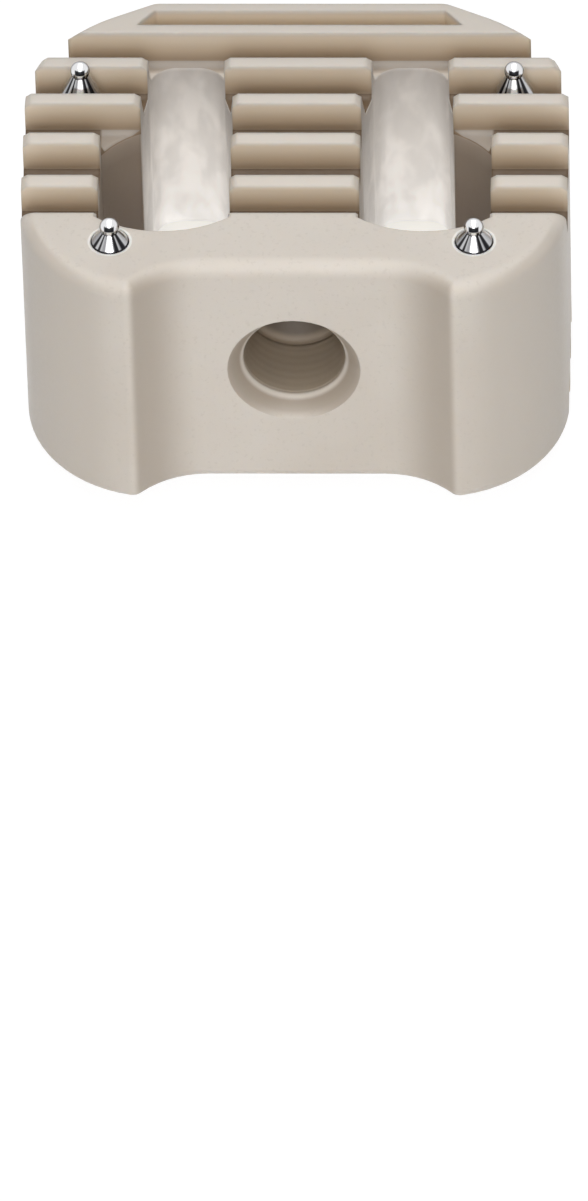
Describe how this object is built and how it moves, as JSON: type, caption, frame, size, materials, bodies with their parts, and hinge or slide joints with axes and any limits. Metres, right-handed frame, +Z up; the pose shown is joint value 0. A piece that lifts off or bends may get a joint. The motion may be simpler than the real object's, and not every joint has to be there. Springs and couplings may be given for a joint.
{
  "type": "spinal interbody cage",
  "caption": "Wide interbody cage with toothed upper and lower faces, graft windows beside a rib, spike pins and a scooped front with a blind hole for the insertion tool.",
  "frame": {"origin": "under the middle of the cage, level with the lower spike tips", "axes": "+X across the cage, left to right seen from the scooped front; +Y from the scooped front face to the rear; +Z up, towards the upper toothed face"},
  "size_m": [0.016, 0.013, 0.0102],
  "materials": {
    "peek": "satin",
    "metal": "polished"
  },
  "bodies": {
    "root": {"cage_body": "peek", "spike_pin_front_left": "metal", "spike_pin_front_right": "metal", "spike_pin_rear_left": "metal", "spike_pin_rear_right": "metal"}
  },
  "joints": []
}
